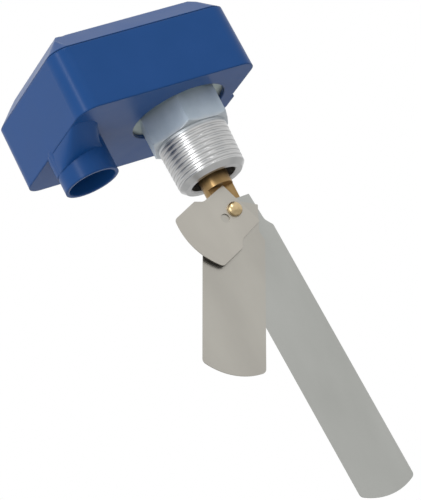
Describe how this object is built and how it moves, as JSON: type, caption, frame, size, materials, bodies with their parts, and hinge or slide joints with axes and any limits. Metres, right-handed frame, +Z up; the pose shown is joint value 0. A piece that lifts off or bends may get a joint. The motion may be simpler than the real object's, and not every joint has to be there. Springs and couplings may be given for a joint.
{
  "type": "paddle flow switch",
  "caption": "Pipe-mounted flow switch: a moulded casing over a hexagonal threaded fitting, with a pivoting stem that carries swivelling steel paddles.",
  "frame": {"origin": "on the pipe fitting's axis at the underside of its hexagon, where the taper thread begins", "axes": "+Z up the fitting's axis from the thread to the casing, +X along the casing's long side away from the cable spigot, +Y along the flow"},
  "size_m": [0.0951, 0.0787, 0.2385],
  "materials": {
    "blue_plastic": "gloss moulded",
    "black_rubber": "matte",
    "steel_fastener": "zinc plated",
    "nickel_plate": "satin plated",
    "bellows_metal": "satin",
    "zinc_sheet": "zinc plated",
    "brass": "machined",
    "black_plastic": "moulded",
    "red_plastic": "moulded",
    "spring_steel": "drawn",
    "stainless_sheet": "fine brushed"
  },
  "bodies": {
    "housing": {"bellows": "bellows_metal", "bracket_screws": "steel_fastener", "chassis_plate": "zinc_sheet", "chassis_screws": "steel_fastener", "cover_gasket": "black_rubber", "fitting_lock_nut": "nickel_plate", "ground_screw": "brass", "housing": "blue_plastic", "microswitch_body": "black_plastic", "microswitch_screws": "steel_fastener", "pipe_fitting": "nickel_plate", "pivot_clip": "steel_fastener", "pivot_pin": "steel_fastener", "range_spring": "spring_steel", "switch_bracket": "zinc_sheet", "switch_terminals": "brass", "terminal_screws": "steel_fastener"},
    "cover": {"cover": "blue_plastic", "cover_screws": "steel_fastener"},
    "paddle_arm": {"paddle_stem": "brass", "rocker_lever": "zinc_sheet", "lever_nut": "brass", "paddle_screw": "brass"},
    "long_paddle": {"long_paddle": "stainless_sheet"},
    "medium_paddle": {"medium_paddle": "stainless_sheet"},
    "small_paddle": {"small_paddle": "stainless_sheet"},
    "switch_plunger": {"switch_plunger": "red_plastic"},
    "range_screw": {"range_screw": "steel_fastener", "range_screw_clip": "steel_fastener"},
    "range_nut": {"range_nut": "brass"}
  },
  "joints": [
    {"name": "arm_rock", "type": "hinge", "parent": "housing", "child": "paddle_arm", "pos_m": [0, 0, 0.026], "axis": [1, 0, 0], "range_deg": [0, 3.5], "stiffness_Nm_per_rad": 0.5, "springref_deg": -6.88, "deforming": ["bellows", "range_spring"]},
    {"name": "long_paddle_swivel", "type": "hinge", "parent": "paddle_arm", "child": "long_paddle", "pos_m": [0, -0.0023, -0.0397], "axis": [0, -1, 0], "range_deg": [-82, 78]},
    {"name": "medium_paddle_swivel", "type": "hinge", "parent": "paddle_arm", "child": "medium_paddle", "pos_m": [0, -0.0028, -0.0397], "axis": [0, -1, 0], "range_deg": [-51.7, 108.3]},
    {"name": "small_paddle_swivel", "type": "hinge", "parent": "paddle_arm", "child": "small_paddle", "pos_m": [0, -0.0034, -0.0397], "axis": [0, -1, 0], "range_deg": [-12.5, 147.5]},
    {"name": "plunger_press", "type": "slide", "parent": "housing", "child": "switch_plunger", "axis": [0, 0, 1], "range_m": [0, 0.0008]},
    {"name": "range_screw_turn", "type": "hinge", "parent": "housing", "child": "range_screw", "pos_m": [0, 0.03, 0.046], "axis": [0, 0, 1], "range_deg": [-541, 541]},
    {"name": "range_nut_travel", "type": "slide", "parent": "housing", "child": "range_nut", "axis": [0, 0, 1], "range_m": [-0.00105, 0.00105], "deforming": ["range_spring"]},
    {"name": "cover_lift", "type": "slide", "parent": "housing", "child": "cover", "axis": [0, 0, 1], "range_m": [0, 0.06]}
  ],
  "couplings": [
    {"joint": "plunger_press", "follows": "arm_rock", "m_per_rad": 0.013},
    {"joint": "range_screw_turn", "follows": "range_nut_travel", "rad_per_m": -8976}
  ]
}
